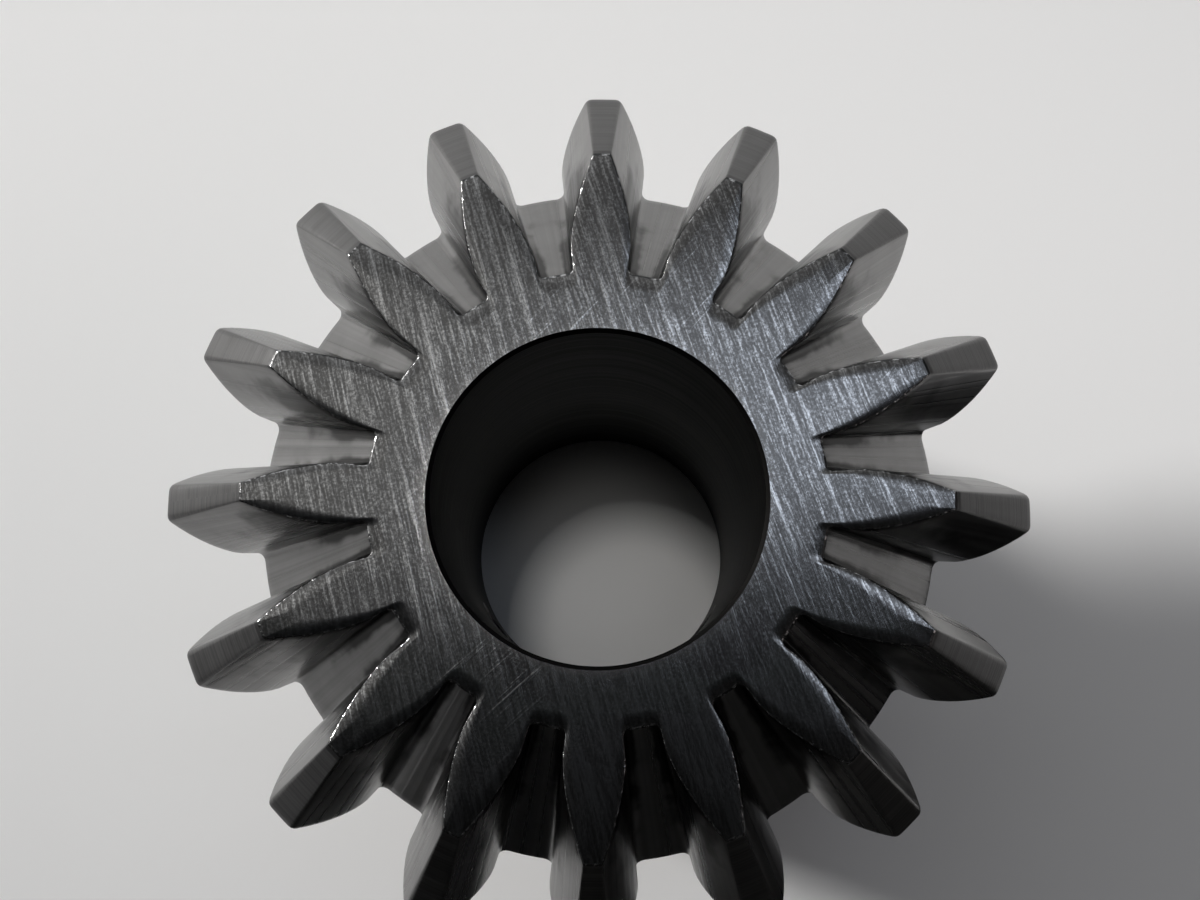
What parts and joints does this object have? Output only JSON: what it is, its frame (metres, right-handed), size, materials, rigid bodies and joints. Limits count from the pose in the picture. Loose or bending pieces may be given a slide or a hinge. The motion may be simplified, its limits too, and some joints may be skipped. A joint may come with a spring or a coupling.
{
  "type": "bevel gear",
  "caption": "Straight bevel gear for an equal right-angle pair, with involute teeth, a long plain-bored hub and set screws that clamp it to a shaft.",
  "frame": {"origin": "centre of the bore at the hub end, on the surface that the gear stands on", "axes": "+Z along the bore from the hub end to the toe face; +Y through the middle of one tooth; the set screws point down and to either side, at 225 and 315 degrees"},
  "size_m": [0.0436, 0.0436, 0.031],
  "materials": {
    "gear_steel": "rough-ground toe face, machined teeth, dark oiled bore",
    "screw_steel": "black oxide"
  },
  "bodies": {
    "gear": {"bevel_gear": "gear_steel"},
    "left_screw": {"set_screw_left": "screw_steel"},
    "right_screw": {"set_screw_right": "screw_steel"}
  },
  "joints": [
    {"name": "left_screw_travel", "type": "slide", "parent": "gear", "child": "left_screw", "axis": [-0.7071, -0.7071, 0], "range_m": [-0.001, 0.0065]},
    {"name": "right_screw_travel", "type": "slide", "parent": "gear", "child": "right_screw", "axis": [0.7071, -0.7071, 0], "range_m": [-0.001, 0.0065]}
  ]
}
